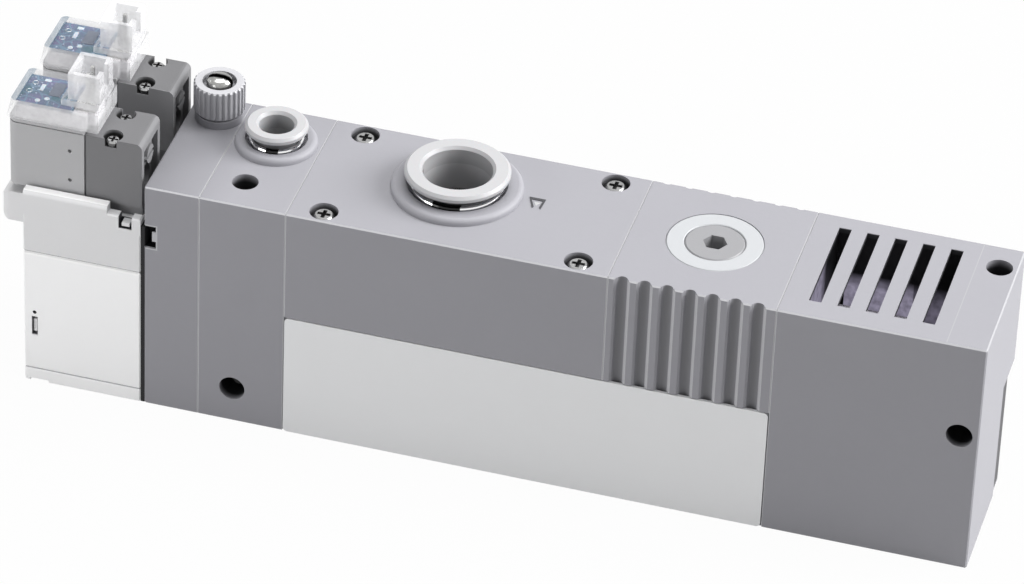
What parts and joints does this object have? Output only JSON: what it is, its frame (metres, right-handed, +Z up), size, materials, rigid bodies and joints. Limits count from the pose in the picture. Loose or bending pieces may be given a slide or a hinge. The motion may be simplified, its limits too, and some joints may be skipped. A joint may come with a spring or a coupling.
{
  "type": "vacuum ejector",
  "caption": "Block-shaped vacuum ejector with push-in tube ports, ribbed filter case, slotted silencer end, release needle and pilot valves under clear connector covers.",
  "frame": {"origin": "centre of the block stack's base, leaving out the valve unit at its left", "axes": "+X along the stack towards the exhaust end, +Y to the back, +Z up"},
  "size_m": [0.1739, 0.0301, 0.0636],
  "materials": {
    "body_grey": "matte",
    "valve_white": "matte",
    "coil_grey": "matte",
    "pilot_dark": "matte",
    "knob_grey": "matte",
    "plug_grey": "satin",
    "ring_white": "satin",
    "clear_cover": "clear moulded plastic",
    "board_blue": "solder mask",
    "black_rubber": "matte",
    "porous_pale": "porous",
    "plate_silver": "satin",
    "steel": "machined",
    "bright_chrome": "polished",
    "nozzle_brass": "machined",
    "copper_winding": "enamelled wire"
  },
  "bodies": {
    "body": {"adapter_block": "body_grey", "port_block": "body_grey", "ejector_block": "body_grey", "bottom_cover": "body_grey", "filter_case": "body_grey", "exhaust_block": "body_grey", "bottom_gasket": "black_rubber", "port_gasket": "black_rubber", "ejector_gasket": "black_rubber", "valve_gasket": "black_rubber", "check_valve": "black_rubber", "needle_seal": "black_rubber", "vacuum_tube_seal": "black_rubber", "supply_tube_seal": "black_rubber", "tie_screws": "steel", "cover_screws": "steel", "stack_screws": "steel", "valve_screws": "steel", "pilot_screws": "steel", "nameplate": "plate_silver", "ejector_nozzle": "nozzle_brass", "first_diffuser": "body_grey", "second_diffuser": "body_grey", "filter_plug": "plug_grey", "plug_ring": "ring_white", "filter_element": "porous_pale", "silencer_element": "porous_pale", "valve_base_plate": "valve_white", "valve_housing": "valve_white", "valve_head": "valve_white", "vacuum_guide_ring": "bright_chrome", "supply_guide_ring": "bright_chrome", "vacuum_collet": "steel", "supply_collet": "steel", "supply_spring": "steel", "supply_pilot_body": "pilot_dark", "supply_coil_housing": "coil_grey", "supply_coil": "copper_winding", "supply_armature_spring": "steel", "supply_circuit_board": "board_blue", "supply_pin_header": "nozzle_brass", "supply_pilot_cover": "clear_cover", "release_spring": "steel", "release_pilot_body": "pilot_dark", "release_coil_housing": "coil_grey", "release_coil": "copper_winding", "release_armature_spring": "steel", "release_circuit_board": "board_blue", "release_pin_header": "nozzle_brass", "release_pilot_cover": "clear_cover"},
    "vacuum_ring": {"vacuum_release_ring": "ring_white"},
    "supply_ring": {"supply_release_ring": "ring_white"},
    "knob": {"adjusting_knob": "knob_grey"},
    "needle": {"needle_screw": "steel"},
    "supply_button": {"supply_override_button": "bright_chrome"},
    "release_button": {"release_override_button": "bright_chrome"},
    "supply_spool_body": {"supply_spool": "steel"},
    "release_spool_body": {"release_spool": "steel"},
    "supply_armature_body": {"supply_armature": "steel"},
    "release_armature_body": {"release_armature": "steel"}
  },
  "joints": [
    {"name": "vacuum_ring_press", "type": "slide", "parent": "body", "child": "vacuum_ring", "axis": [0, 0, -1], "range_m": [0, 0.001], "stiffness_N_per_m": 600, "springref_m": -0.001},
    {"name": "supply_ring_press", "type": "slide", "parent": "body", "child": "supply_ring", "axis": [0, 0, -1], "range_m": [0, 0.001], "stiffness_N_per_m": 600, "springref_m": -0.001},
    {"name": "knob_turn", "type": "hinge", "parent": "body", "child": "knob", "pos_m": [-0.068, 0.0093, 0.0475], "axis": [0, 0, 1], "range_deg": [0, 905]},
    {"name": "needle_lift", "type": "slide", "parent": "knob", "child": "needle", "axis": [0, 0, 1], "range_m": [0, 0.00125]},
    {"name": "supply_button_press", "type": "slide", "parent": "body", "child": "supply_button", "axis": [-1, 0, 0], "range_m": [0, 0.0008], "stiffness_N_per_m": 400, "springref_m": -0.001},
    {"name": "supply_spool_shift", "type": "slide", "parent": "body", "child": "supply_spool_body", "axis": [0, 0, -1], "range_m": [0, 0.002], "stiffness_N_per_m": 400, "springref_m": -0.002, "deforming": ["supply_spring"]},
    {"name": "supply_armature_pull", "type": "slide", "parent": "body", "child": "supply_armature_body", "axis": [-1, 0, 0], "range_m": [0, 0.0005], "stiffness_N_per_m": 400, "springref_m": -0.001, "deforming": ["supply_armature_spring"]},
    {"name": "release_button_press", "type": "slide", "parent": "body", "child": "release_button", "axis": [-1, 0, 0], "range_m": [0, 0.0008], "stiffness_N_per_m": 400, "springref_m": -0.001},
    {"name": "release_spool_shift", "type": "slide", "parent": "body", "child": "release_spool_body", "axis": [0, 0, -1], "range_m": [0, 0.002], "stiffness_N_per_m": 400, "springref_m": -0.002, "deforming": ["release_spring"]},
    {"name": "release_armature_pull", "type": "slide", "parent": "body", "child": "release_armature_body", "axis": [-1, 0, 0], "range_m": [0, 0.0005], "stiffness_N_per_m": 400, "springref_m": -0.001, "deforming": ["release_armature_spring"]}
  ],
  "couplings": [
    {"joint": "knob_turn", "follows": "needle_lift", "rad_per_m": 12566}
  ]
}
